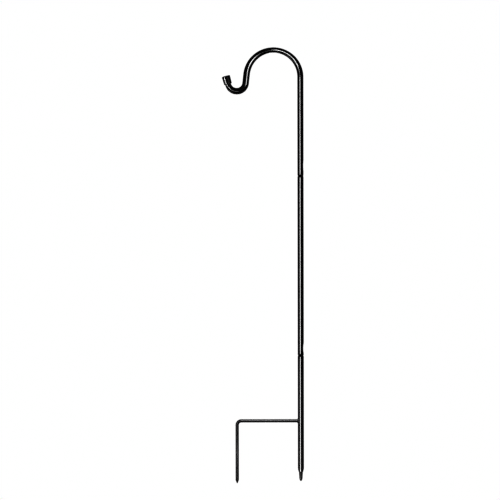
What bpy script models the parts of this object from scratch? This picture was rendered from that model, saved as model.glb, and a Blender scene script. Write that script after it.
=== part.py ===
"""A shepherds hook: a pole of three steel tubes with a hooked top and a step-in prong at its foot.

Metres, +Z up. The origin is on the pole's axis at ground level, which is the underside of the step bar.
The hook and the prong both reach towards -X. The three tubes stand end to end on plain steel pins.
"""

import math

import bmesh
import bpy
from mathutils import Matrix

# Clearances
FIT_GAP = 0.0003
MERGE_DISTANCE = 0.000002

# Tube, the same for all three lengths
TUBE_DIAMETER = 0.016
TUBE_WALL = 0.0011
TUBE_END_CHAMFER = 0.0008

# Stake: the lowest tube, drawn in to a cone at its bottom end
STAKE_ABOVE_GROUND = 0.183
STAKE_BELOW_GROUND = 0.1357
SWAGE_LENGTH = 0.0124
SWAGE_END_DIAMETER = 0.0105

# Stake tip: a plug with a shank up inside the drawn-in end
TIP_LENGTH = 0.0243
TIP_NOSE_LENGTH = 0.0075
TIP_SHOULDER_STEP = 0.00015
TIP_NOSE_DIAMETER = 0.0066
TIP_SHANK_LENGTH = 0.020
TIP_CHAMFER = 0.0005

# Step bar and prong: one round rod with one bend
ROD_DIAMETER = 0.0085
PRONG_REACH = 0.1742
PRONG_DEPTH = 0.1663
PRONG_BEND_RADIUS = 0.0115
PRONG_POINT_LENGTH = 0.009
PRONG_POINT_DIAMETER = 0.0012

# Weld bead between the step bar and the stake
WELD_LEG = 0.0015

# Middle tube
MIDDLE_LENGTH = 0.4907

# Crimps: one side of a tube pressed in over the waist of the pin inside it
CRIMP_LENGTH = 0.034
CRIMP_HALF_ANGLE = math.radians(70)
MIDDLE_CRIMP_START = 0.002
MIDDLE_CRIMP_DEPTH = 0.0014
HOOK_CRIMP_START = 0.0105
HOOK_CRIMP_DEPTH = 0.0008

# Pins: each is held in the tube above it and slides into the tube below it
PIN_INSERTION = 0.050
PIN_PAST_CRIMP = 0.012
PIN_CHAMFER = 0.0015
PIN_SHOULDER_SLOPE = 0.0012

# Hook: leg, arch, short leg, bottom bend and upturned tip in one length of tube
HOOK_LEG_LENGTH = 0.2703
ARCH_RADIUS = 0.0737
ARCH_TURN = math.radians(173.6)
SHORT_LEG_LENGTH = 0.0256
BOTTOM_BEND_RADIUS = 0.0243
BOTTOM_BEND_TURN = math.radians(158.2)
HOOK_TIP_LENGTH = 0.0211
ARCH_PINCH = 0.0009
SHORT_LEG_SPREAD = 0.0007

# End cap pushed over the hook's tip
CAP_GRIP = 0.0181
CAP_END_WALL = 0.003
CAP_MOUTH_DIAMETER = 0.0208
CAP_TOP_DIAMETER = 0.0224
CAP_TOP_ROUND = 0.0016
CAP_MOUTH_CHAMFER = 0.0006

# Facets
TUBE_SIDES = 32
ROD_SIDES = 20
ARCH_STEPS = 27
BOTTOM_BEND_STEPS = 22
PRONG_BEND_STEPS = 10
CRIMP_STEPS = 10
ROUND_STEPS = 4
SMOOTH_ANGLE = math.radians(30)

# Derived sizes
TUBE_RADIUS = TUBE_DIAMETER / 2
BORE_RADIUS = TUBE_RADIUS - TUBE_WALL
ROD_RADIUS = ROD_DIAMETER / 2
PIN_RADIUS = BORE_RADIUS - FIT_GAP

# Turns a frame's own Z from up to -X
TURN_TO_MINUS_X = Matrix.Rotation(-math.pi / 2, 4, "Y")


def clear_scene():
    for obj in list(bpy.data.objects):
        bpy.data.objects.remove(obj, do_unlink=True)


def finish(name, colour, roughness, metallic):
    """A Principled material named after the piece that wears it."""
    material = bpy.data.materials.new(name + "_finish")
    material.use_nodes = True
    shader = material.node_tree.nodes["Principled BSDF"]
    shader.inputs["Base Color"].default_value = (*colour, 1)
    shader.inputs["Roughness"].default_value = roughness
    shader.inputs["Metallic"].default_value = metallic
    return material


def make_object(name, bm, material, parent):
    """Turns a bmesh into a smooth-shaded object of its own material, under a parent empty."""
    bmesh.ops.recalc_face_normals(bm, faces=bm.faces[:])
    mesh = bpy.data.meshes.new(name)
    bm.to_mesh(mesh)
    bm.free()
    mesh.shade_smooth()
    mesh.set_sharp_from_angle(angle=SMOOTH_ANGLE)
    mesh.materials.append(material)
    obj = bpy.data.objects.new(name, mesh)
    bpy.context.scene.collection.objects.link(obj)
    obj.parent = parent
    return obj


def add_section(name, height, parent):
    """An empty on the pole's axis that carries the pieces of one section."""
    empty = bpy.data.objects.new(name, None)
    bpy.context.scene.collection.objects.link(empty)
    empty.location = (0, 0, height)
    empty.parent = parent
    return empty


def start_tube(bm):
    """Lays a flat ring in the XY plane, the first end of a tube, and returns its faces."""
    bmesh.ops.create_circle(bm, segments=TUBE_SIDES, radius=TUBE_RADIUS)
    bmesh.ops.create_circle(bm, segments=TUBE_SIDES, radius=BORE_RADIUS)
    return bmesh.ops.bridge_loops(bm, edges=bm.edges[:])["faces"]


def extrude_end(bm, end_faces, move):
    """Extrudes an end once, moves the copy by a matrix and returns its faces."""
    edges = dict.fromkeys(edge for face in end_faces for edge in face.edges)
    made = bmesh.ops.extrude_face_region(bm, geom=[*end_faces, *edges])["geom"]
    verts = [item for item in made if isinstance(item, bmesh.types.BMVert)]
    bmesh.ops.transform(bm, matrix=move, verts=verts)
    return [item for item in made if isinstance(item, bmesh.types.BMFace)]


def sweep(bm, end_faces, stations):
    """Extrudes an end through the stations in turn, from the first one, where it already lies."""
    for here, there in zip(stations, stations[1:]):
        end_faces = extrude_end(bm, end_faces, there @ here.inverted())
    return end_faces


def chamfer_rim(bm, end_faces):
    """Breaks the outer edge of a tube's end, which is the longer of the two loops round its faces."""
    ends = set(end_faces)
    rim = [edge for face in end_faces for edge in face.edges if len(ends & set(edge.link_faces)) == 1]
    middle_length = sum(edge.calc_length() for edge in rim) / len(rim)
    outer = [edge for edge in rim if edge.calc_length() > middle_length]
    bmesh.ops.bevel(
        bm,
        geom=outer,
        offset=TUBE_END_CHAMFER,
        offset_type="OFFSET",
        segments=1,
        profile=0.5,
        affect="EDGES",
        material=-1,
    )


def straight(frame, length, steps=1):
    """Frames along a straight run, which follows the frame's own Z."""
    return [frame @ Matrix.Translation((0, 0, length * step / steps)) for step in range(1, steps + 1)]


def bend(frame, centre_x, turn, steps):
    """Frames round a bend whose centre lies at centre_x along the frame's own X."""
    to_centre = Matrix.Translation((centre_x, 0, 0))
    signed_turn = math.copysign(turn, centre_x)
    frames = []
    for step in range(1, steps + 1):
        rotation = Matrix.Rotation(signed_turn * step / steps, 4, "Y")
        frames.append(frame @ to_centre @ rotation @ to_centre.inverted())
    return frames


def oval(spread):
    """Widens a round tube section along its own X by spread on each side, and narrows it as much along Y."""
    share = spread / TUBE_RADIUS
    return Matrix.Diagonal((1 + share, 1 - share, 1, 1))


def ease(share):
    """A smooth step from 0 to 1."""
    share = min(max(share, 0), 1)
    return share * share * (3 - 2 * share)


def press_crimp(bm, start, depth):
    """Presses the +X side of an upright tube in, deepest at the middle of the crimp's length."""
    for vert in bm.verts:
        length_share = (vert.co.z - start) / CRIMP_LENGTH
        angle_share = math.atan2(vert.co.y, vert.co.x) / CRIMP_HALF_ANGLE
        if 0 < length_share < 1 and abs(angle_share) < 1:
            along = math.sin(math.pi * length_share) ** 2
            around = math.cos(math.pi / 2 * angle_share) ** 2
            vert.co.x -= depth * along * around


def crimped_leg(bm, length, crimp_start, crimp_depth):
    """Stands a tube on the XY plane, crimps it near its foot, and returns its top faces and top frame."""
    foot = Matrix.Identity(4)
    below_crimp = straight(foot, crimp_start)
    crimp = straight(below_crimp[-1], CRIMP_LENGTH, CRIMP_STEPS)
    above_crimp = straight(crimp[-1], length - crimp_start - CRIMP_LENGTH)
    stations = [foot, *below_crimp, *crimp, *above_crimp]
    foot_faces = start_tube(bm)
    top_faces = sweep(bm, foot_faces, stations)
    press_crimp(bm, crimp_start, crimp_depth)
    chamfer_rim(bm, foot_faces)
    return top_faces, stations[-1]


def turned(outline, sides, closed):
    """Spins an outline of (radius, height) points about Z. A closed one joins its last point to its first."""
    bm = bmesh.new()
    verts = [bm.verts.new((radius, 0, height)) for radius, height in outline]
    edges = [bm.edges.new(pair) for pair in zip(verts, verts[1:])]
    if closed:
        edges.append(bm.edges.new((verts[-1], verts[0])))
    bmesh.ops.spin(
        bm,
        geom=[*verts, *edges],
        cent=(0, 0, 0),
        axis=(0, 0, 1),
        angle=math.tau,
        steps=sides,
        use_merge=True,
    )
    bmesh.ops.remove_doubles(bm, verts=bm.verts[:], dist=MERGE_DISTANCE)
    return bm


def quarter_round(radius_centre, height_centre, radial_size, height_size, first_angle):
    """Outline points round a quarter turn, from first_angle downwards, on a circle or an ellipse."""
    points = []
    for step in range(ROUND_STEPS + 1):
        angle = first_angle - math.pi / 2 * step / ROUND_STEPS
        points.append(
            (
                radius_centre + radial_size * math.cos(angle),
                height_centre + height_size * math.sin(angle),
            )
        )
    return points


def stake_tube(parent):
    """Thin-walled tube whose bottom end is drawn in to a cone."""
    swage_end_radius = SWAGE_END_DIAMETER / 2
    swage_start = SWAGE_LENGTH - STAKE_BELOW_GROUND
    outline = [
        (TUBE_RADIUS - TUBE_END_CHAMFER, STAKE_ABOVE_GROUND),
        (TUBE_RADIUS, STAKE_ABOVE_GROUND - TUBE_END_CHAMFER),
        (TUBE_RADIUS, swage_start),
        (swage_end_radius, -STAKE_BELOW_GROUND),
        (swage_end_radius - TUBE_WALL, -STAKE_BELOW_GROUND),
        (BORE_RADIUS, swage_start),
        (BORE_RADIUS, STAKE_ABOVE_GROUND),
    ]
    bm = turned(outline, TUBE_SIDES, closed=True)
    return make_object("stake_tube", bm, finish("stake_tube", (0.011, 0.011, 0.012), 0.24, 0), parent)


def stake_tip(parent):
    """Solid point: a shank held in the drawn-in tube end, a cone below it and a rounded nose."""
    shank_radius = SWAGE_END_DIAMETER / 2 - TUBE_WALL - FIT_GAP
    shoulder_radius = SWAGE_END_DIAMETER / 2 - TIP_SHOULDER_STEP
    nose_radius = TIP_NOSE_DIAMETER / 2
    nose_start = TIP_NOSE_LENGTH - TIP_LENGTH
    outline = [
        (0, TIP_SHANK_LENGTH),
        (shank_radius - TIP_CHAMFER, TIP_SHANK_LENGTH),
        (shank_radius, TIP_SHANK_LENGTH - TIP_CHAMFER),
        (shank_radius, 0),
        (shoulder_radius, 0),
        *quarter_round(0, nose_start, nose_radius, TIP_NOSE_LENGTH, 0),
    ]
    bm = turned(outline, TUBE_SIDES, closed=False)
    obj = make_object("stake_tip", bm, finish("stake_tip", (0.030, 0.030, 0.031), 0.42, 0), parent)
    obj.location = (0, 0, -STAKE_BELOW_GROUND - FIT_GAP)
    return obj


def step_prong(parent):
    """Round rod: the step bar runs out from the stake, then bends down into the prong and its point."""
    bar_end = Matrix.Translation((-TUBE_RADIUS - FIT_GAP, 0, ROD_RADIUS)) @ TURN_TO_MINUS_X
    bar_length = PRONG_REACH - PRONG_BEND_RADIUS - TUBE_RADIUS - FIT_GAP
    shank_length = PRONG_DEPTH - PRONG_POINT_LENGTH - PRONG_BEND_RADIUS + ROD_RADIUS
    bar = straight(bar_end, bar_length)
    corner = bend(bar[-1], -PRONG_BEND_RADIUS, math.pi / 2, PRONG_BEND_STEPS)
    shank = straight(corner[-1], shank_length)
    point_share = PRONG_POINT_DIAMETER / ROD_DIAMETER
    point = straight(shank[-1], PRONG_POINT_LENGTH)[0] @ Matrix.Diagonal((point_share, point_share, 1, 1))
    bm = bmesh.new()
    bmesh.ops.create_circle(bm, cap_ends=True, segments=ROD_SIDES, radius=ROD_RADIUS)
    bmesh.ops.transform(bm, matrix=bar_end, verts=bm.verts[:])
    sweep(bm, bm.faces[:], [bar_end, *bar, *corner, *shank, point])
    return make_object("step_prong", bm, finish("step_prong", (0.017, 0.017, 0.018), 0.34, 0), parent)


def crossbar_weld(parent):
    """Fillet bead round the end of the step bar, cut to the stake's round surface."""
    seat_radius = TUBE_RADIUS + FIT_GAP
    bore_radius = ROD_RADIUS + FIT_GAP
    toe_radius = min(bore_radius + WELD_LEG, TUBE_RADIUS)
    edge_share = 0.2
    crown_share = 0.65
    outline = [
        (bore_radius, seat_radius + WELD_LEG),
        (bore_radius + edge_share * WELD_LEG, seat_radius + WELD_LEG),
        (bore_radius + crown_share * WELD_LEG, seat_radius + crown_share * WELD_LEG),
        (toe_radius, seat_radius + edge_share * WELD_LEG),
        (toe_radius, 0),
        (bore_radius, 0),
    ]
    bm = turned(outline, TUBE_SIDES, closed=True)
    obj = make_object("crossbar_weld", bm, finish("crossbar_weld", (0.014, 0.014, 0.015), 0.40, 0), parent)
    obj.location = (0, 0, ROD_RADIUS)
    obj.rotation_euler = TURN_TO_MINUS_X.to_euler()

    cutter_bm = bmesh.new()
    bmesh.ops.create_cone(
        cutter_bm,
        cap_ends=True,
        segments=2 * TUBE_SIDES,
        radius1=seat_radius,
        radius2=seat_radius,
        depth=2 * TUBE_DIAMETER,
    )
    cutter_mesh = bpy.data.meshes.new("weld_seat_cutter")
    cutter_bm.to_mesh(cutter_mesh)
    cutter_bm.free()
    cutter = bpy.data.objects.new("weld_seat_cutter", cutter_mesh)
    bpy.context.scene.collection.objects.link(cutter)
    cutter.parent = parent
    cutter.location = (0, 0, ROD_RADIUS)
    cutter.hide_render = True
    cutter.display_type = "WIRE"

    seat = obj.modifiers.new("stake_seat", "BOOLEAN")
    seat.operation = "DIFFERENCE"
    seat.solver = "EXACT"
    seat.object = cutter
    return obj


def joint_pin(name, parent, crimp_start, crimp_depth):
    """Solid pin across a joint: a plain lower end, and a waist under the crimp of the tube above."""
    waist_radius = PIN_RADIUS - crimp_depth
    waist_foot = FIT_GAP + crimp_start
    waist_top = waist_foot + CRIMP_LENGTH
    pin_top = waist_top + PIN_PAST_CRIMP
    outline = [
        (0, pin_top),
        (PIN_RADIUS - PIN_CHAMFER, pin_top),
        (PIN_RADIUS, pin_top - PIN_CHAMFER),
        (PIN_RADIUS, waist_top + PIN_SHOULDER_SLOPE),
        (waist_radius, waist_top),
        (waist_radius, waist_foot),
        (PIN_RADIUS, waist_foot - PIN_SHOULDER_SLOPE),
        (PIN_RADIUS, PIN_CHAMFER - PIN_INSERTION),
        (PIN_RADIUS - PIN_CHAMFER, -PIN_INSERTION),
        (0, -PIN_INSERTION),
    ]
    bm = turned(outline, TUBE_SIDES, closed=False)
    return make_object(name, bm, finish(name, (0.55, 0.56, 0.57), 0.34, 1), parent)


def middle_tube(parent):
    """Plain tube with one crimp just above its foot."""
    bm = bmesh.new()
    top_faces = crimped_leg(bm, MIDDLE_LENGTH, MIDDLE_CRIMP_START, MIDDLE_CRIMP_DEPTH)[0]
    chamfer_rim(bm, top_faces)
    return make_object("middle_tube", bm, finish("middle_tube", (0.010, 0.010, 0.011), 0.22, 0), parent)


def hook_stations(top_frame):
    """Frames of the hook from the top of its leg to its open tip, with the oval that bending left."""
    arch = bend(top_frame, -ARCH_RADIUS, ARCH_TURN, ARCH_STEPS)
    short_leg = straight(arch[-1], SHORT_LEG_LENGTH)
    bottom = bend(short_leg[-1], BOTTOM_BEND_RADIUS, BOTTOM_BEND_TURN, BOTTOM_BEND_STEPS)
    tip = straight(bottom[-1], HOOK_TIP_LENGTH)
    stations = [top_frame]
    for step, frame in enumerate(arch, 1):
        pinch = ARCH_PINCH * math.sin(ARCH_TURN * step / ARCH_STEPS) ** 2
        spread = SHORT_LEG_SPREAD * ease(2 * step / ARCH_STEPS - 1)
        stations.append(frame @ oval(spread - pinch))
    stations.append(short_leg[-1] @ oval(SHORT_LEG_SPREAD))
    for step, frame in enumerate(bottom, 1):
        spread = SHORT_LEG_SPREAD * ease(2 - 2 * step / BOTTOM_BEND_STEPS)
        stations.append(frame @ oval(spread))
    stations.append(tip[-1])
    return stations


def hook_tube(parent):
    """One tube: crimped leg, arch, short leg, bottom bend and tip. Returns it and its tip's frame."""
    bm = bmesh.new()
    top_faces, top_frame = crimped_leg(bm, HOOK_LEG_LENGTH, HOOK_CRIMP_START, HOOK_CRIMP_DEPTH)
    stations = hook_stations(top_frame)
    sweep(bm, top_faces, stations)
    material = finish("hook_tube", (0.009, 0.009, 0.010), 0.20, 0)
    return make_object("hook_tube", bm, material, parent), stations[-1]


def hook_end_cap(parent, tip_frame):
    """Moulded cup over the hook's tip, a little wider at its closed end than at its mouth."""
    top_radius = CAP_TOP_DIAMETER / 2
    mouth_radius = CAP_MOUTH_DIAMETER / 2
    bore_radius = TUBE_RADIUS + FIT_GAP
    outline = [
        (0, CAP_END_WALL),
        *quarter_round(
            top_radius - CAP_TOP_ROUND,
            CAP_END_WALL - CAP_TOP_ROUND,
            CAP_TOP_ROUND,
            CAP_TOP_ROUND,
            math.pi / 2,
        ),
        (mouth_radius, CAP_MOUTH_CHAMFER - CAP_GRIP),
        (mouth_radius - CAP_MOUTH_CHAMFER, -CAP_GRIP),
        (bore_radius, -CAP_GRIP),
        (bore_radius, 0),
        (0, 0),
    ]
    bm = turned(outline, TUBE_SIDES, closed=False)
    obj = make_object("hook_end_cap", bm, finish("hook_end_cap", (0.013, 0.013, 0.013), 0.45, 0), parent)
    seat = tip_frame @ Matrix.Translation((0, 0, FIT_GAP))
    obj.location = seat.to_translation()
    obj.rotation_euler = seat.to_euler()
    return obj


def build():
    clear_scene()
    stake = add_section("stake_section", 0, None)
    stake_tube(stake)
    stake_tip(stake)
    step_prong(stake)
    crossbar_weld(stake)

    lower_joint = add_section("lower_joint", STAKE_ABOVE_GROUND, stake)
    joint_pin("lower_pin", lower_joint, MIDDLE_CRIMP_START, MIDDLE_CRIMP_DEPTH)
    middle = add_section("middle_section", FIT_GAP, lower_joint)
    middle_tube(middle)

    upper_joint = add_section("upper_joint", MIDDLE_LENGTH, middle)
    joint_pin("upper_pin", upper_joint, HOOK_CRIMP_START, HOOK_CRIMP_DEPTH)
    hook = add_section("hook_section", FIT_GAP, upper_joint)
    tip_frame = hook_tube(hook)[1]
    hook_end_cap(hook, tip_frame)
    bpy.context.view_layer.update()


build()
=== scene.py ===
"""A shepherds hook in three lengths of gloss black steel tube, joined by pins, with a step-in prong."""

import math

import bmesh
import bpy
from mathutils import Matrix, Vector


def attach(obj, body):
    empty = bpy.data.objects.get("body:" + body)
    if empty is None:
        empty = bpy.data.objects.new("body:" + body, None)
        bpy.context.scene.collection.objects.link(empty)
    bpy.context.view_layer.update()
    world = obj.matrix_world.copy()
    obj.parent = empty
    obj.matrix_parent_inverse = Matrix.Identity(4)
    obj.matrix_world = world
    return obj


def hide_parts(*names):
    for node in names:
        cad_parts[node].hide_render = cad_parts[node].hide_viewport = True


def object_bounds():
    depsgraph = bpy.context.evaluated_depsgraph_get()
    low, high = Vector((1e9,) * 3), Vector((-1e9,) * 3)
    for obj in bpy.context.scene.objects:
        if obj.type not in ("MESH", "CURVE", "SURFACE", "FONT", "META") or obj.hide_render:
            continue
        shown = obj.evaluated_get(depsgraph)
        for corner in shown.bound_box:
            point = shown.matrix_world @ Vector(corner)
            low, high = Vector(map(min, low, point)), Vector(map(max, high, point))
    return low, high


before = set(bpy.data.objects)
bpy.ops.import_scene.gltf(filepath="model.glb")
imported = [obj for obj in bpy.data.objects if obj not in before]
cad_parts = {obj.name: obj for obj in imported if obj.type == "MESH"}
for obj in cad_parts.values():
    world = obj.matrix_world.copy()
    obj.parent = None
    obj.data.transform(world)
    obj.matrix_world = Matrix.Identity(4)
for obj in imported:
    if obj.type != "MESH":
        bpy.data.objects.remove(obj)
solid_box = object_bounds()

# Camera
# A long lens, square on and level with the middle of the pole. The pole leans a hair to the left in the
# picture, so the camera is rolled by that much.
picture_pixels = 500
metres_per_pixel = 0.002735
camera_distance = 8
sensor_width = 36
picture_centre = (-0.1384, 0.4715)
pole_lean = math.atan(0.00147)
camera_lens = bpy.data.cameras.new("camera")
camera_lens.sensor_width = sensor_width
camera_lens.lens = sensor_width * camera_distance / (picture_pixels * metres_per_pixel)
camera = bpy.data.objects.new("camera", camera_lens)
camera.location = (picture_centre[0], -camera_distance, picture_centre[1])
camera.rotation_euler = (math.pi / 2, pole_lean, 0)
bpy.context.scene.collection.objects.link(camera)
bpy.context.scene.camera = camera

# Floor and room
# A white studio. The floor and the room are plain white in the picture but dark in the gloss of the tube,
# as between black flags. The picture is printed hard: a gamma under 1 closes up the blacks and keeps the
# edges of the thin tube dark against the white.
floor_reach = 12
floor_below_prong = 0.0002
room_glow = 0.02
floor_glow = 0.03
print_gamma = 0.6
white = (1, 1, 1, 1)
bpy.context.scene.view_settings.view_transform = "Standard"
bpy.context.scene.view_settings.gamma = print_gamma


def white_to_camera(tree, output_socket, glow, bright_type):
    """Plain white where the camera looks straight at it, and a dim glow of its own for light and gloss."""
    seen = tree.nodes.new(bright_type)
    unseen = tree.nodes.new(bright_type)
    seen.inputs["Strength"].default_value = 1
    seen.inputs["Color"].default_value = white
    unseen.inputs["Strength"].default_value = glow
    unseen.inputs["Color"].default_value = white
    ray = tree.nodes.new("ShaderNodeLightPath")
    choose = tree.nodes.new("ShaderNodeMixShader")
    tree.links.new(ray.outputs["Is Camera Ray"], choose.inputs["Fac"])
    tree.links.new(unseen.outputs[0], choose.inputs[1])
    tree.links.new(seen.outputs[0], choose.inputs[2])
    tree.links.new(choose.outputs[0], output_socket)


room = bpy.data.worlds.new("white_room")
room.use_nodes = True
room.node_tree.nodes.clear()
room_output = room.node_tree.nodes.new("ShaderNodeOutputWorld")
white_to_camera(room.node_tree, room_output.inputs["Surface"], room_glow, "ShaderNodeBackground")
bpy.context.scene.world = room

floor_paint = bpy.data.materials.new("white_floor")
floor_paint.use_nodes = True
floor_paint.node_tree.nodes.clear()
floor_output = floor_paint.node_tree.nodes.new("ShaderNodeOutputMaterial")
white_to_camera(floor_paint.node_tree, floor_output.inputs["Surface"], floor_glow, "ShaderNodeEmission")
floor_bm = bmesh.new()
bmesh.ops.create_grid(floor_bm, x_segments=1, y_segments=1, size=floor_reach)
bmesh.ops.translate(floor_bm, vec=(0, 0, solid_box[0].z - floor_below_prong), verts=floor_bm.verts[:])
floor_mesh = bpy.data.meshes.new("floor")
floor_bm.to_mesh(floor_mesh)
floor_bm.free()
floor_mesh.materials.append(floor_paint)
floor = bpy.data.objects.new("floor", floor_mesh)
floor.visible_shadow = False
floor.visible_glossy = False
floor.visible_diffuse = False
bpy.context.scene.collection.objects.link(floor)

# Lamps
# Soft boxes and black cards. Two tall keys left of the camera draw the bright line down the pole, small
# boxes close by light the hook, the bar, the prong and the foot, and one stands far behind and low. The
# cards keep the tall key off the arch and the cap.


def soft_box(name, place, aim, width, height, brightness, tilt=0, grid=None):
    """Hangs a lamp in its place and turns it to face its aim. Brightness is that of its face. A grid keeps
    its light within so many degrees of the way it faces."""
    lamp = bpy.data.lights.new(name, "AREA")
    lamp.shape = "RECTANGLE"
    lamp.size = width
    lamp.size_y = height
    lamp.energy = brightness * math.pi * width * height
    if grid is not None:
        # A narrower spread packs the same energy into a brighter face, so the energy is cut to match.
        half_spread = math.radians(grid)
        lamp.spread = 2 * half_spread
        lamp.energy *= 1 - half_spread / math.tan(half_spread)
    box = bpy.data.objects.new(name, lamp)
    facing = (Vector(aim) - Vector(place)).to_track_quat("-Z", "Y").to_matrix().to_4x4()
    box.matrix_world = Matrix.Translation(place) @ facing @ Matrix.Rotation(math.radians(tilt), 4, "Z")
    box.visible_camera = False
    bpy.context.scene.collection.objects.link(box)


# Each row: name, place, aim, width, height, brightness.
soft_box("tall_key", (-2.41, -7.63, 0.7225), (0, 0, 0.7225), 3.4, 1.655, 29.9)
soft_box("low_key", (-2.80, -7.49, -0.6775), (0, 0, -0.6775), 3.0, 1.145, 31.7)
soft_box("foot_key", (-0.175, -0.468, -0.262), (0, 0, -0.130), 0.19, 0.125, 44.2, grid=22)
soft_box("foot_fill", (-0.119, -0.317, -0.335), (0, 0, -0.130), 0.135, 0.127, 66.5, grid=22)
soft_box("arch_inside", (-0.215, 0, 0.785), (-0.022, 0, 0.997), 0.3, 0.15, 2.24, grid=30)
soft_box("short_leg", (-0.097, -0.15, 0.9455), (-0.145, 0, 0.950), 0.055, 0.065, 35.2, grid=22)
soft_box("seat_glow", (-0.190, -0.3, 0.858), (-0.178, 0, 0.897), 0.06, 0.04, 14.4, grid=15)
soft_box("cap_spark", (-0.2763, -0.0615, 0.909), (-0.2013, 0, 0.937), 0.018, 0.036, 73.6, grid=25)
soft_box("cap_side", (-0.163, -0.040, 0.937), (-0.2013, 0, 0.939), 0.045, 0.03, 1.8, grid=30)
soft_box("bar_light", (-0.084, -0.086, 0.114), (-0.084, 0, 0.004), 0.19, 0.14, 52.9, grid=40)
soft_box("prong_light", (-0.176, -0.3, -0.104), (-0.1742, 0, -0.092), 0.10, 0.05, 62, grid=16)
soft_box("back_light", (0, 20, -5.2), (0, 0, 0.45), 4, 6.4, 11)

# The arch is lit by small boxes that hang in a ring in front of it, each turned along the tube.
ring_centre_x = -0.0737
ring_centre_z = 0.9541
ring_depth = -0.15
ring_box_height = 0.042
ring_grid = 34
for name, degrees, ring_radius, length, brightness in (
    ("arch_low", 31, 0.056, 0.028, 52.8),
    ("arch_right", 56, 0.056, 0.028, 57.6),
    ("arch_crown", 76, 0.056, 0.027, 60.8),
    ("arch_left", 147, 0.062, 0.030, 35.2),
):
    lamp_x = ring_centre_x + ring_radius * math.cos(math.radians(degrees))
    lamp_z = ring_centre_z + ring_radius * math.sin(math.radians(degrees))
    place = (lamp_x, ring_depth, lamp_z)
    aim = (lamp_x, 0, lamp_z)
    soft_box(name, place, aim, length, ring_box_height, brightness, tilt=degrees - 90, grid=ring_grid)

card_black = bpy.data.materials.new("black_card")
card_black.use_nodes = True
card_surface = card_black.node_tree.nodes["Principled BSDF"]
card_surface.inputs["Base Color"].default_value = (0, 0, 0, 1)
card_surface.inputs["Specular IOR Level"].default_value = 0


def black_card(name, depth, edge):
    """Hangs a flat black card in front of the hook. Its edge is given as (x, z)."""
    card_bm = bmesh.new()
    card_bm.faces.new([card_bm.verts.new((x, depth, z)) for x, z in edge])
    card_mesh = bpy.data.meshes.new(name)
    card_bm.to_mesh(card_mesh)
    card_bm.free()
    card_mesh.materials.append(card_black)
    card = bpy.data.objects.new(name, card_mesh)
    card.visible_camera = False
    bpy.context.scene.collection.objects.link(card)


black_card(
    "arch_card",
    depth=-0.16,
    edge=[(0.02, 0.953), (-0.135, 0.953), (-0.160, 0.925), (-0.235, 0.925), (-0.235, 1.06), (0.02, 1.06)],
)
black_card(
    "cap_card",
    depth=-0.06,
    edge=[(-0.255, 0.900), (-0.205, 0.910), (-0.160, 0.930), (-0.160, 0.985), (-0.255, 0.985)],
)

# Stake
# The lowest length of the pole: 16 mm steel tube with a 1.1 mm wall, its bottom end drawn in to a cone. It
# is coated gloss black, a little dulled towards the cone, where it rubs in the soil. Its colour there is
# lightened as a painted reflection of the ground.
tube_radius = 0.008
tube_wall = 0.0011
bore_radius = tube_radius - tube_wall
bore_rim = 0.00015
tube_sides = 96
rim_depth = 0.0009
rim_height = 0.0040
rim_fullness = 1.3
rim_crowding = 1.4
rim_steps = 10
rim_shares = [math.sin(math.pi / 2 * step / rim_steps) ** rim_crowding for step in range(rim_steps + 1)]
# A ring this close to a change of shape keeps the shading of the plain length beside it flat.
guard = 0.0013
merge_distance = 0.000002
sharp_from = math.radians(38)
stake_top = 0.183
stake_bottom = -0.1357
stake_dull_sheen_below = -0.062
cone_length = 0.0124
cone_steps = 10
cone_lip_radius = 0.0059
cone_lip_length = 0.0006
cone_end_radius = 0.00525
cone_edge_width = 0.00035
cone_edge_height = 0.00015


def rolled_in(share):
    """How far a rolled end has drawn in, at a share of the way from the plain tube to its edge."""
    return rim_depth * (1 - (1 - share ** rim_fullness) ** (1 / rim_fullness))


def quarter_round(centre_radius, centre_height, size, first_degrees, steps=5, height_size=None):
    """Outline points of a quarter turn downwards, as (radius, height)."""
    points = []
    for step in range(steps + 1):
        angle = math.radians(first_degrees - 90 * step / steps)
        radius = centre_radius + size * math.cos(angle)
        height = centre_height + (height_size or size) * math.sin(angle)
        points.append((radius, height))
    return points


def turned(outline, sides, closed):
    """Spins an outline about the upright axis. A closed outline joins its last point to its first."""
    bm = bmesh.new()
    verts = [bm.verts.new((radius, 0, height)) for radius, height in outline]
    edges = [bm.edges.new(pair) for pair in zip(verts, verts[1:])]
    if closed:
        edges.append(bm.edges.new((verts[-1], verts[0])))
    bmesh.ops.spin(
        bm,
        geom=[*verts, *edges],
        cent=(0, 0, 0),
        axis=(0, 0, 1),
        angle=math.tau,
        steps=sides,
        use_merge=True,
    )
    bmesh.ops.remove_doubles(bm, verts=bm.verts[:], dist=merge_distance)
    bmesh.ops.recalc_face_normals(bm, faces=bm.faces[:])
    return bm


def make_piece(name, bm, material, node, body, place=None):
    """Makes the mesh an object in its place, in the stead of its solid and on that solid's body."""
    if place is not None:
        bmesh.ops.transform(bm, matrix=place, verts=bm.verts[:])
    mesh = bpy.data.meshes.new(name)
    bm.to_mesh(mesh)
    bm.free()
    mesh.shade_smooth()
    mesh.set_sharp_from_angle(angle=sharp_from)
    mesh.materials.append(material)
    piece = bpy.data.objects.new(name, mesh)
    bpy.context.scene.collection.objects.link(piece)
    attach(piece, body)
    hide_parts(node)


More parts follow.
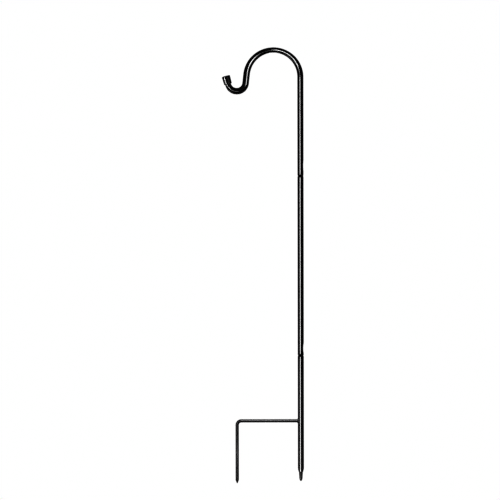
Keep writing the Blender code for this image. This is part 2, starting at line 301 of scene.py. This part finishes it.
class Finish:
    """A material under construction: a Principled surface and the nodes that drive it."""

    def __init__(self, name, **sockets):
        self.material = bpy.data.materials.new(name)
        self.material.use_nodes = True
        self.tree = self.material.node_tree
        self.surface = self.tree.nodes["Principled BSDF"]
        for socket, value in sockets.items():
            self.surface.inputs[socket.replace("_", " ")].default_value = value
        self.place = self.tree.nodes.new("ShaderNodeTexCoord").outputs["Object"]
        self.bumps = None

    def join(self, source, target):
        """Links an output to an input."""
        self.tree.links.new(source, target)

    def noise(self, scale, detail=2, stretch=(1, 1, 1), shift=(0, 0, 0)):
        """Cloudy noise, as many features to the metre as scale says, drawn out where stretch is under 1."""
        mapping = self.tree.nodes.new("ShaderNodeMapping")
        mapping.inputs["Scale"].default_value = stretch
        mapping.inputs["Location"].default_value = shift
        cloud = self.tree.nodes.new("ShaderNodeTexNoise")
        cloud.inputs["Scale"].default_value = scale
        cloud.inputs["Detail"].default_value = detail
        self.join(self.place, mapping.inputs["Vector"])
        self.join(mapping.outputs["Vector"], cloud.inputs["Vector"])
        return cloud.outputs["Fac"]

    def spread(self, source, low, high, to_low, to_high):
        """Maps low to high of a source smoothly onto another range, and holds it there."""
        node = self.tree.nodes.new("ShaderNodeMapRange")
        node.interpolation_type = "SMOOTHSTEP"
        node.inputs["From Min"].default_value = low
        node.inputs["From Max"].default_value = high
        node.inputs["To Min"].default_value = to_low
        node.inputs["To Max"].default_value = to_high
        self.join(source, node.inputs["Value"])
        return node.outputs["Result"]

    def reckon(self, kind, first, second):
        """Works out one number from two, of which either may be a plain value."""
        node = self.tree.nodes.new("ShaderNodeMath")
        node.operation = kind
        for socket, value in zip(node.inputs, (first, second)):
            if isinstance(value, (int, float)):
                socket.default_value = value
            else:
                self.join(value, socket)
        return node.outputs["Value"]

    def height(self):
        """The height of a place on the piece, in metres."""
        node = self.tree.nodes.new("ShaderNodeSeparateXYZ")
        self.join(self.place, node.inputs["Vector"])
        return node.outputs["Z"]

    def mix(self, share, first, second):
        """Blends two colours. Each is three numbers, or another colour's socket."""
        node = self.tree.nodes.new("ShaderNodeMix")
        node.data_type = "RGBA"
        self.join(share, node.inputs["Factor"])
        # The node has sockets of every kind: its inputs 6 and 7 and its output 2 are the colours.
        for socket, value in ((node.inputs[6], first), (node.inputs[7], second)):
            if isinstance(value, tuple):
                socket.default_value = (*value, 1)
            else:
                self.join(value, socket)
        return node.outputs[2]

    def calm_edges(self, level, start=0.62, end=0.84):
        """Takes the gloss away towards the outline as the camera sees it: painted shade that keeps the
        outline dark where real gloss paint would reflect.
        """
        view = self.tree.nodes.new("ShaderNodeLayerWeight")
        view.inputs["Blend"].default_value = 0.5
        gloss = self.spread(view.outputs["Facing"], start, end, level, 0)
        self.join(gloss, self.surface.inputs["Specular IOR Level"])

    def bump(self, height, depth, strength=1):
        """Adds relief over the relief so far, depth metres from the darkest to the brightest of a height."""
        node = self.tree.nodes.new("ShaderNodeBump")
        node.inputs["Distance"].default_value = depth
        node.inputs["Strength"].default_value = strength
        self.join(height, node.inputs["Height"])
        if self.bumps is not None:
            self.join(self.bumps, node.inputs["Normal"])
        self.bumps = node.outputs["Normal"]
        self.join(self.bumps, self.surface.inputs["Normal"])


def gloss_black(name, black, grey, roughness, rims=(), dull_sheen_below=None, shine=0.5):
    """Gloss coating on steel, black with greyer handling marks: slight orange peel, fine scuffs along the
    tube and specks of dust. It is worn in thin lines at its rims. Below one height it is duller, and
    lighter in colour as a painted reflection of the ground."""
    dust_colour = (0.035, 0.034, 0.032)
    ground_sheen_colour = (0.0085, 0.0083, 0.0080)
    ground_sheen_fully = 0.03
    ground_sheen_fade = 0.012
    worn_colour = (0.026, 0.025, 0.024)
    worn_fully = 0.00015
    worn_reach = 0.0009
    coat = Finish(name)
    peel = coat.noise(520, detail=2)
    coat.bump(peel, depth=0.000004, strength=0.5)
    sag = coat.noise(55, detail=1, stretch=(1, 1, 0.35))
    coat.bump(sag, depth=0.00002, strength=0.25)
    touches = coat.noise(38, detail=4, stretch=(1, 1, 0.25), shift=(3, 1, 2))
    handled = coat.spread(touches, 0.40, 0.72, 0, 1)
    fine = coat.spread(coat.noise(900, detail=3), 0.35, 0.70, 0, 1)
    handled_roughness = coat.spread(handled, 0, 1, roughness, roughness + 0.05)
    fine_roughness = coat.spread(fine, 0, 1, 0, 0.015)
    rough = coat.reckon("ADD", handled_roughness, fine_roughness)
    colour = coat.mix(coat.reckon("MULTIPLY", handled, 0.6), black, grey)
    lines = coat.noise(1700, detail=2, stretch=(1, 1, 0.015), shift=(7, 3, 1))
    hairlines = coat.spread(lines, 0.60, 0.68, 0, 1)
    clouds = coat.noise(26, detail=3, stretch=(1, 1, 0.5), shift=(2, 8, 4))
    patches = coat.spread(clouds, 0.50, 0.62, 0, 1)
    scuffs = coat.reckon("MULTIPLY", hairlines, patches)
    specks = coat.spread(coat.noise(1900, detail=1, shift=(4, 6, 9)), 0.745, 0.775, 0, 1)
    dusty = coat.reckon("MAXIMUM", coat.reckon("MULTIPLY", scuffs, 0.5), specks)
    colour = coat.mix(coat.reckon("MULTIPLY", dusty, 0.5), colour, dust_colour)
    marked = coat.reckon("MAXIMUM", scuffs, specks)
    rough = coat.reckon("ADD", rough, coat.reckon("MULTIPLY", marked, 0.05))
    # Below one height the colour is lightened: a painted reflection of the ground. The gloss is dulled there
    # too.
    if dull_sheen_below is not None:
        low_sheen = coat.spread(coat.height(), dull_sheen_below - ground_sheen_fully, dull_sheen_below + ground_sheen_fade, 1, 0)
        streaks = coat.spread(coat.noise(140, detail=4, stretch=(1, 1, 0.12)), 0.30, 0.70, 0.45, 1)
        rubbed = coat.reckon("MULTIPLY", low_sheen, streaks)
        colour = coat.mix(rubbed, colour, ground_sheen_colour)
        rough = coat.reckon("ADD", rough, coat.reckon("MULTIPLY", rubbed, 0.02))
    if rims:
        height = coat.height()
        worn = None
        for rim in rims:
            from_rim = coat.reckon("ABSOLUTE", coat.reckon("SUBTRACT", height, rim), 0)
            near = coat.spread(from_rim, worn_fully, worn_reach, 1, 0)
            worn = near if worn is None else coat.reckon("MAXIMUM", worn, near)
        chips = coat.noise(330, detail=3, stretch=(1, 1, 0.6), shift=(5, 2, 7))
        broken = coat.spread(chips, 0.52, 0.66, 0, 0.8)
        worn = coat.reckon("MULTIPLY", worn, broken)
        colour = coat.mix(worn, colour, worn_colour)
        rough = coat.reckon("ADD", rough, coat.reckon("MULTIPLY", worn, 0.07))
    coat.join(colour, coat.surface.inputs["Base Color"])
    coat.join(rough, coat.surface.inputs["Roughness"])
    coat.calm_edges(shine)
    return coat.material


cone_top = stake_bottom + cone_length
cone_rings = []
for step in range(cone_steps + 1):
    drawn_in = (tube_radius - cone_lip_radius) * (1 - math.cos(math.pi / 2 * step / cone_steps))
    ring_height = cone_top - (cone_length - cone_lip_length) * step / cone_steps
    cone_rings.append((tube_radius - drawn_in, ring_height))
rolled_top = [
    (tube_radius - rolled_in(share), stake_top - rim_height * (1 - share)) for share in reversed(rim_shares)
]
stake_outline = [
    (bore_radius + bore_rim, stake_top),
    *rolled_top,
    (tube_radius, stake_top - rim_height - guard),
    (tube_radius, cone_top + guard),
    *cone_rings,
    (cone_end_radius + cone_edge_width, stake_bottom + cone_edge_height),
    (cone_end_radius, stake_bottom),
    (cone_end_radius - tube_wall, stake_bottom),
    (bore_radius, cone_top),
    (bore_radius, stake_top - bore_rim),
]
stake_coat = gloss_black(
    "stake_coat",
    black=(0.0032, 0.0032, 0.0035),
    grey=(0.0052, 0.0052, 0.0054),
    roughness=0.09,
    rims=(stake_top,),
    dull_sheen_below=stake_dull_sheen_below,
)
stake_bm = turned(stake_outline, tube_sides, closed=True)
make_piece("stake", stake_bm, stake_coat, node="stake_tube", body="stake")

# Stake point
# A solid steel plug driven into the drawn-in end of the stake, with a cone and a blunt nose below it. Its
# thin coating is rubbed grey by the soil.
fit_gap = 0.0003
point_sides = 72
point_top = stake_bottom - fit_gap
point_length = 0.0243
point_end = point_top - point_length
shank_length = 0.020
shank_straight = 0.0195
shank_edge = 0.0005
shank_radius = cone_end_radius - tube_wall - fit_gap
shoulder_step = 0.00015
shoulder_radius = cone_end_radius - shoulder_step
shoulder_edge_width = 0.0002
shoulder_edge_height = 0.0003
nose_length = 0.0100
nose_radius = 0.0043
nose_steps = 12
nose_blend_width = 0.00004
nose_blend_height = 0.0008
point_outline = [
    (0, point_top + shank_length),
    (shank_radius - shank_edge, point_top + shank_length),
    (shank_radius, point_top + shank_straight),
    (shank_radius, point_top),
    (shoulder_radius - shoulder_edge_width, point_top),
    (shoulder_radius, point_top - shoulder_edge_height),
    (nose_radius + nose_blend_width, point_end + nose_length + nose_blend_height),
    *quarter_round(0, point_end + nose_length, nose_radius, 0, steps=nose_steps, height_size=nose_length),
]
bare = Finish("rubbed_point", Specular_IOR_Level=0.14)
rubbed = bare.spread(bare.noise(330, detail=5, stretch=(1, 1, 0.22)), 0.44, 0.64, 0, 1)
toe = bare.spread(bare.height(), point_end, point_end + nose_length, 1, 0.25)
worn_point = bare.reckon("MULTIPLY", rubbed, toe)
point_colour = bare.mix(worn_point, (0.0080, 0.0080, 0.0080), (0.036, 0.035, 0.033))
bare.join(point_colour, bare.surface.inputs["Base Color"])
bare.join(bare.spread(rubbed, 0, 1, 0.36, 0.50), bare.surface.inputs["Roughness"])
bare.join(bare.spread(worn_point, 0.35, 1, 0, 0.06), bare.surface.inputs["Metallic"])
bare.bump(bare.noise(700, detail=3), depth=0.00004, strength=0.5)
point_bm = turned(point_outline, point_sides, closed=False)
make_piece("stake_point", point_bm, bare.material, node="stake_tip", body="stake")

# Step bar and prong
# One 8.5 mm steel rod: the bar that a foot treads down, a tight bend, and the prong with its ground point.
# It has the same black coating as the tubes, less glossy. Towards its point it is duller, and its colour is
# lightened there as a painted reflection of the ground.
rod_radius = 0.00425
rod_sides = 56
rod_dull_sheen_below = -0.075
bar_start = -tube_radius - fit_gap
prong_reach = 0.1742
prong_depth = 0.1663
prong_bend = 0.0115
prong_bend_steps = 24
ground_point = 0.009
ground_point_steps = 8
ground_point_taper = 1.15
ground_point_end = 0.12


def extrude_end(bm, end_faces, move):
    """Extrudes an end once, moves the copy by a matrix and returns its faces."""
    edges = dict.fromkeys(edge for face in end_faces for edge in face.edges)
    made = bmesh.ops.extrude_face_region(bm, geom=[*end_faces, *edges])["geom"]
    made_verts = [item for item in made if isinstance(item, bmesh.types.BMVert)]
    bmesh.ops.transform(bm, matrix=move, verts=made_verts)
    return [item for item in made if isinstance(item, bmesh.types.BMFace)]


def sweep(bm, end_faces, stations):
    """Extrudes an end through the stations in turn, from the first one, where it already lies."""
    for here, there in zip(stations, stations[1:]):
        end_faces = extrude_end(bm, end_faces, there @ here.inverted())
    return end_faces


def straight(station, length, steps=1, guarded=False):
    """Stations along a straight run, with one more close to each end where it is guarded."""
    heights = [length * step / steps for step in range(1, steps + 1)]
    if guarded:
        heights = [guard, *heights[:-1], length - guard, length]
    return [station @ Matrix.Translation((0, 0, height)) for height in heights]


def bend(station, centre_x, turn, steps):
    """Stations round a bend whose centre lies at centre_x along the station's own X."""
    to_centre = Matrix.Translation((centre_x, 0, 0))
    signed = math.copysign(turn, centre_x)
    return [
        station @ to_centre @ Matrix.Rotation(signed * step / steps, 4, "Y") @ to_centre.inverted()
        for step in range(1, steps + 1)
    ]


bar_station = Matrix.Translation((bar_start, 0, rod_radius)) @ Matrix.Rotation(-math.pi / 2, 4, "Y")
bar = straight(bar_station, prong_reach - prong_bend + bar_start, guarded=True)
corner = bend(bar[-1], -prong_bend, math.pi / 2, prong_bend_steps)
prong = straight(corner[-1], prong_depth - ground_point - prong_bend + rod_radius, guarded=True)
point = []
for step in range(1, ground_point_steps + 1):
    share = step / ground_point_steps
    width = 1 - (1 - ground_point_end) * share ** ground_point_taper
    narrower = Matrix.Diagonal((width, width, 1, 1))
    point.append(prong[-1] @ Matrix.Translation((0, 0, ground_point * share)) @ narrower)
rod_bm = bmesh.new()
bmesh.ops.create_circle(rod_bm, cap_ends=True, segments=rod_sides, radius=rod_radius)
bmesh.ops.transform(rod_bm, matrix=bar_station, verts=rod_bm.verts[:])
sweep(rod_bm, rod_bm.faces[:], [bar_station, *bar, *corner, *prong, *point])
bmesh.ops.recalc_face_normals(rod_bm, faces=rod_bm.faces[:])
rod_coat = gloss_black(
    "rod_coat",
    black=(0.0055, 0.0055, 0.0058),
    grey=(0.0085, 0.0085, 0.0086),
    roughness=0.17,
    dull_sheen_below=rod_dull_sheen_below,
    shine=0.13,
)
make_piece("step_rod", rod_bm, rod_coat, node="step_prong", body="stake")

# Weld
# The bead of weld metal that holds the bar's end to the stake, laid in short overlapping runs and coated
# over in the same black.
bead_leg = 0.0015
bead_sides = 136
bead_seat = tube_radius + fit_gap
bead_bore = rod_radius + fit_gap
bead_runs = 17
bead_valley = 0.80
bead_crest = 0.20
bead_run_fullness = 0.7
bead_pinch = 0.00018
bead_tolerance = 0.0001
# How far out from the bore each point of the bead's back lies, and its share of the bead's height there.
bead_back = ((0, 1), (0.0003, 1), (0.0007, 0.86), (0.0011, 0.58), (bead_leg, 0.2), (bead_leg, 0))
bead_outline = [*((bead_bore + out, bead_leg * share) for out, share in bead_back), (bead_bore, 0)]
bead_bm = turned(bead_outline, bead_sides, closed=True)
for vert in bead_bm.verts:
    radius = math.hypot(vert.co.x, vert.co.y)
    if radius > bead_bore + bead_tolerance and vert.co.z > 0:
        turn = math.atan2(vert.co.y, vert.co.x) * bead_runs / math.tau
        ripple = abs(math.sin(math.pi * turn)) ** bead_run_fullness
        vert.co.z *= bead_valley + bead_crest * ripple
        keep = 1 - (1 - ripple) * bead_pinch / radius
        vert.co.x *= keep
        vert.co.y *= keep
for vert in bead_bm.verts:
    seat = math.sqrt(bead_seat ** 2 - vert.co.y ** 2)
    vert.co = (-seat - vert.co.z, vert.co.y, vert.co.x + rod_radius)
bmesh.ops.recalc_face_normals(bead_bm, faces=bead_bm.faces[:])
bead_coat = gloss_black(
    "bead_coat", black=(0.0075, 0.0075, 0.0078), grey=(0.012, 0.012, 0.012), roughness=0.26
)
make_piece("weld_bead", bead_bm, bead_coat, node="crossbar_weld", body="stake")

# Pins
# Plain plated steel pins that join the three lengths. Each is crimped fast in the tube above by its waist
# and slides into the tube below, which leaves long fine scratches on it.
upper_joint = 0.674
lower_waist = 0.002
upper_waist = 0.0105
lower_crimp = 0.0014
upper_crimp = 0.0008
crimp_length = 0.034
pin_sides = 72
pin_radius = bore_radius - fit_gap
pin_insertion = 0.050
pin_past_crimp = 0.012
pin_edge = 0.0015
waist_edge = 0.0001
waist_flat_start = -0.0003
waist_slope_start = 0.0001
waist_slope_end = 0.0011
waist_shoulder = 0.0014


def pin_steel(name, pull_foot):
    """Bright plated steel with lengthwise scratches on the half that slides."""
    slide_fade = 0.002
    dark_plating = (0.20, 0.205, 0.21)
    light_plating = (0.27, 0.27, 0.27)
    scratch_colour = (0.13, 0.13, 0.135)
    steel = Finish(name, Metallic=1)
    scratch = steel.noise(2600, detail=3, stretch=(1, 1, 0.012))
    cloud = steel.noise(120, detail=3)
    slides = steel.spread(steel.height(), pull_foot - slide_fade, pull_foot + slide_fade, 1, 0.25)
    scratched = steel.reckon("MULTIPLY", steel.spread(scratch, 0.45, 0.70, 0, 1), slides)
    tone = steel.mix(cloud, dark_plating, light_plating)
    steel.join(steel.mix(scratched, tone, scratch_colour), steel.surface.inputs["Base Color"])
    cloudy_roughness = steel.spread(cloud, 0.3, 0.7, 0.22, 0.32)
    rough = steel.reckon("ADD", cloudy_roughness, steel.reckon("MULTIPLY", scratched, 0.12))
    steel.join(rough, steel.surface.inputs["Roughness"])
    steel.bump(scratched, depth=0.00001, strength=0.6)
    return steel.material


for pin_name, node, joint_height, waist_start, crimp_depth in (
    ("lower_connector", "lower_pin", stake_top, lower_waist, lower_crimp),
    ("upper_connector", "upper_pin", upper_joint, upper_waist, upper_crimp),
):
    waist_foot = joint_height + fit_gap + waist_start
    waist_top = waist_foot + crimp_length
    waist_radius = pin_radius - crimp_depth
    pin_top = waist_top + pin_past_crimp
    pin_foot = joint_height - pin_insertion
    # The slope from the full width to the waist, as (radius, distance from the waist's end).
    waist_slope = [
        (pin_radius, waist_shoulder),
        (pin_radius - waist_edge, waist_slope_end),
        (waist_radius + waist_edge, waist_slope_start),
        (waist_radius, waist_flat_start),
    ]
    pin_outline = [
        (0, pin_top),
        *quarter_round(pin_radius - pin_edge, pin_top - pin_edge, pin_edge, 90),
        *((radius, waist_top + away) for radius, away in waist_slope),
        (waist_radius, waist_top + waist_flat_start - guard),
        (waist_radius, waist_foot - waist_flat_start + guard),
        *((radius, waist_foot - away) for radius, away in reversed(waist_slope)),
        (pin_radius, waist_foot - waist_shoulder - guard),
        (pin_radius, pin_foot + pin_edge + guard),
        *quarter_round(pin_radius - pin_edge, pin_foot + pin_edge, pin_edge, 0),
        (0, pin_foot),
    ]
    pin_bm = turned(pin_outline, pin_sides, closed=False)
    make_piece(pin_name, pin_bm, pin_steel(pin_name, joint_height), node=node, body=node)

# Middle length
# 16 mm steel tube between the two joints, coated gloss black. Its rolled ends meet those of its neighbours
# with hardly a gap, and one side is pressed in just above its foot, where it grips the lower pin.
joint_gap = 0.00001
middle_foot = stake_top + joint_gap
middle_length = upper_joint - middle_foot
crimp_half_angle = math.radians(70)
crimp_fullness = 1.3
crimp_steps = 28


def break_bore(bm, end_faces):
    """Breaks the inner edge of a tube's end."""
    ends = set(end_faces)
    rim = [edge for face in end_faces for edge in face.edges if len(ends & set(edge.link_faces)) == 1]
    middle = sum(edge.calc_length() for edge in rim) / len(rim)
    bmesh.ops.bevel(
        bm,
        geom=[edge for edge in rim if edge.calc_length() <= middle],
        offset=bore_rim,
        offset_type="OFFSET",
        segments=1,
        profile=0.5,
        affect="EDGES",
        material=-1,
    )


def crimped_tube(length, crimp_start, crimp_depth, rim_on_top):
    """Stands a tube on its foot with a crimp near it. Returns its bmesh, top faces and top station."""
    bm = bmesh.new()
    bmesh.ops.create_circle(bm, segments=tube_sides, radius=tube_radius)
    bmesh.ops.create_circle(bm, segments=tube_sides, radius=bore_radius)
    foot_faces = bmesh.ops.bridge_loops(bm, edges=bm.edges[:])["faces"]
    rim = [rim_height * (1 - share) for share in reversed(rim_shares[:-1])]
    crimp = [crimp_start + crimp_length * step / crimp_steps for step in range(crimp_steps + 1)]
    plain = [rim_height + guard, crimp_start - guard, *crimp, crimp[-1] + guard]
    # The rolled rim has rings enough of its own, so none of the others goes there.
    heights = [*rim, *sorted(height for height in plain if height > rim_height + guard / 4)]
    if rim_on_top:
        heights += [length - rim_height - guard, *(length - down for down in reversed(rim)), length]
    else:
        heights += [length - guard, length]
    stations = [Matrix.Translation((0, 0, height)) for height in (0, *heights)]
    top_faces = sweep(bm, foot_faces, stations)
    for vert in bm.verts:
        along = (vert.co.z - crimp_start) / crimp_length
        round_it = math.atan2(vert.co.y, vert.co.x) / crimp_half_angle
        from_end = min(vert.co.z, length - vert.co.z) if rim_on_top else vert.co.z
        if from_end < rim_height and math.hypot(vert.co.x, vert.co.y) > tube_radius - tube_wall / 2:
            keep = 1 - rolled_in(min(1 - from_end / rim_height, 1)) / tube_radius
            vert.co.x *= keep
            vert.co.y *= keep
        if 0 < along < 1 and abs(round_it) < 1:
            press_along = math.sin(math.pi * along) ** crimp_fullness
            press_round = math.cos(math.pi / 2 * round_it) ** 2
            vert.co.x -= crimp_depth * press_along * press_round
    break_bore(bm, foot_faces)
    return bm, top_faces, stations[-1]


middle_bm, middle_top_faces, _ = crimped_tube(
    middle_length, fit_gap - joint_gap + lower_waist, lower_crimp, rim_on_top=True
)
break_bore(middle_bm, middle_top_faces)
bmesh.ops.recalc_face_normals(middle_bm, faces=middle_bm.faces[:])
middle_coat = gloss_black(
    "middle_coat",
    black=(0.0030, 0.0030, 0.0033),
    grey=(0.0048, 0.0048, 0.0050),
    roughness=0.09,
    rims=(middle_foot, middle_foot + middle_length),
)
make_piece(
    "middle_length",
    middle_bm,
    middle_coat,
    node="middle_tube",
    body="middle",
    place=Matrix.Translation((0, 0, middle_foot)),
)

# Hook length
# The top tube of coated 16 mm steel, crimped on the upper pin and bent cold in one piece: a straight leg,
# the arch, a short leg and the upturned hook. Bending has left it slightly flat over the crown and slightly
# wide on the short leg.
hook_foot = upper_joint + joint_gap
leg_top = 0.9446
hook_leg = leg_top - hook_foot
arch_radius = 0.0737
arch_turn = math.radians(173.6)
arch_steps = 108
short_leg = 0.0256
short_leg_steps = 4
seat_radius = 0.0243
seat_turn = math.radians(158.2)
seat_steps = 66
hook_tip = 0.0211
crown_pinch = 0.000902
short_leg_spread = 0.0007


def oval(spread):
    """Widens a round section in the plane of the hook by spread each side, and narrows it as much across."""
    share = spread / tube_radius
    return Matrix.Diagonal((1 + share, 1 - share, 1, 1))


def ease(share):
    """A soft start and a soft end between 0 and 1."""
    share = min(max(share, 0), 1)
    return share * share * (3 - 2 * share)


hook_bm, leg_top_faces, leg_station = crimped_tube(
    hook_leg, fit_gap - joint_gap + upper_waist, upper_crimp, rim_on_top=False
)
arch = bend(leg_station, -arch_radius, arch_turn, arch_steps)
drop = straight(arch[-1], short_leg, short_leg_steps)
seat = bend(drop[-1], seat_radius, seat_turn, seat_steps)
tip_station = straight(seat[-1], hook_tip)[0]
hook_stations = [leg_station]
for step, station in enumerate(arch, 1):
    pinch = crown_pinch * math.sin(arch_turn * step / arch_steps) ** 2
    spread = short_leg_spread * ease(2 * step / arch_steps - 1)
    hook_stations.append(station @ oval(spread - pinch))
hook_stations.extend(station @ oval(short_leg_spread) for station in drop)
for step, station in enumerate(seat, 1):
    hook_stations.append(station @ oval(short_leg_spread * ease(2 - 2 * step / seat_steps)))
hook_stations.append(tip_station)
sweep(hook_bm, leg_top_faces, hook_stations)
bmesh.ops.recalc_face_normals(hook_bm, faces=hook_bm.faces[:])
hook_coat = gloss_black(
    "hook_coat",
    black=(0.0028, 0.0028, 0.0030),
    grey=(0.0045, 0.0045, 0.0047),
    roughness=0.09,
    rims=(hook_foot,),
)
make_piece(
    "hook_length",
    hook_bm,
    hook_coat,
    node="hook_tube",
    body="hook",
    place=Matrix.Translation((0, 0, hook_foot)),
)

# End cap
# A moulded black rubber cup pushed over the cut end of the hook, a little wider at its closed end, with a
# softened rim and a shallow dish in its top.
cap_grip = 0.0196
cap_end_wall = 0.003
cap_mouth_radius = 0.0104
cap_top_radius = 0.0112
cap_bore = tube_radius + fit_gap
cap_top_round = 0.0022
cap_top_round_steps = 8
cap_inset = 0.00002
cap_side_inset = 0.00006
cap_side_top = -0.0002
cap_flare = 0.00010
cap_flare_height = 0.0022
cap_mouth_round = 0.0006
cap_mouth_edge_width = 0.0003
cap_mouth_edge_height = 0.0004
cap_dish = 0.0004
# The dish from its middle outwards, as shares of the cap's radius and of the dish's depth.
cap_dish_shares = ((0, 1), (0.55, 0.85), (0.72, 0.25))
cap_round_radius = cap_top_radius - cap_top_round - cap_inset
cap_round_height = cap_end_wall - cap_top_round - cap_inset
cap_outline = [
    *((cap_top_radius * out, cap_end_wall - cap_dish * deep) for out, deep in cap_dish_shares),
    *quarter_round(cap_round_radius, cap_round_height, cap_top_round, 90, steps=cap_top_round_steps),
    (cap_top_radius - cap_side_inset, cap_side_top),
    (cap_mouth_radius + cap_flare, cap_flare_height - cap_grip),
    *quarter_round(cap_mouth_radius - cap_mouth_round, cap_mouth_round - cap_grip, cap_mouth_round, 0),
    (cap_bore + cap_mouth_edge_width, -cap_grip),
    (cap_bore, cap_mouth_edge_height - cap_grip),
    (cap_bore, 0),
    (0, 0),
]
rubber_black = (0.012, 0.012, 0.012)
rubber_bloom = (0.018, 0.018, 0.0178)
rubber = Finish("cap_rubber")
grain = rubber.noise(1500, detail=3)
film = rubber.spread(rubber.noise(160, detail=3), 0.35, 0.70, 0, 1)
rubber.join(rubber.mix(film, rubber_black, rubber_bloom), rubber.surface.inputs["Base Color"])
rubber.join(rubber.spread(film, 0, 1, 0.11, 0.17), rubber.surface.inputs["Roughness"])
rubber.calm_edges(0.5, start=0.28, end=0.50)
rubber.bump(grain, depth=0.000002, strength=0.6)
rubber.bump(rubber.noise(240, detail=2), depth=0.00001, strength=0.4)
cap_place = Matrix.Translation((0, 0, hook_foot)) @ tip_station @ Matrix.Translation((0, 0, fit_gap))
make_piece(
    "hook_cap",
    turned(cap_outline, tube_sides, closed=False),
    rubber.material,
    node="hook_end_cap",
    body="hook",
    place=cap_place,
)
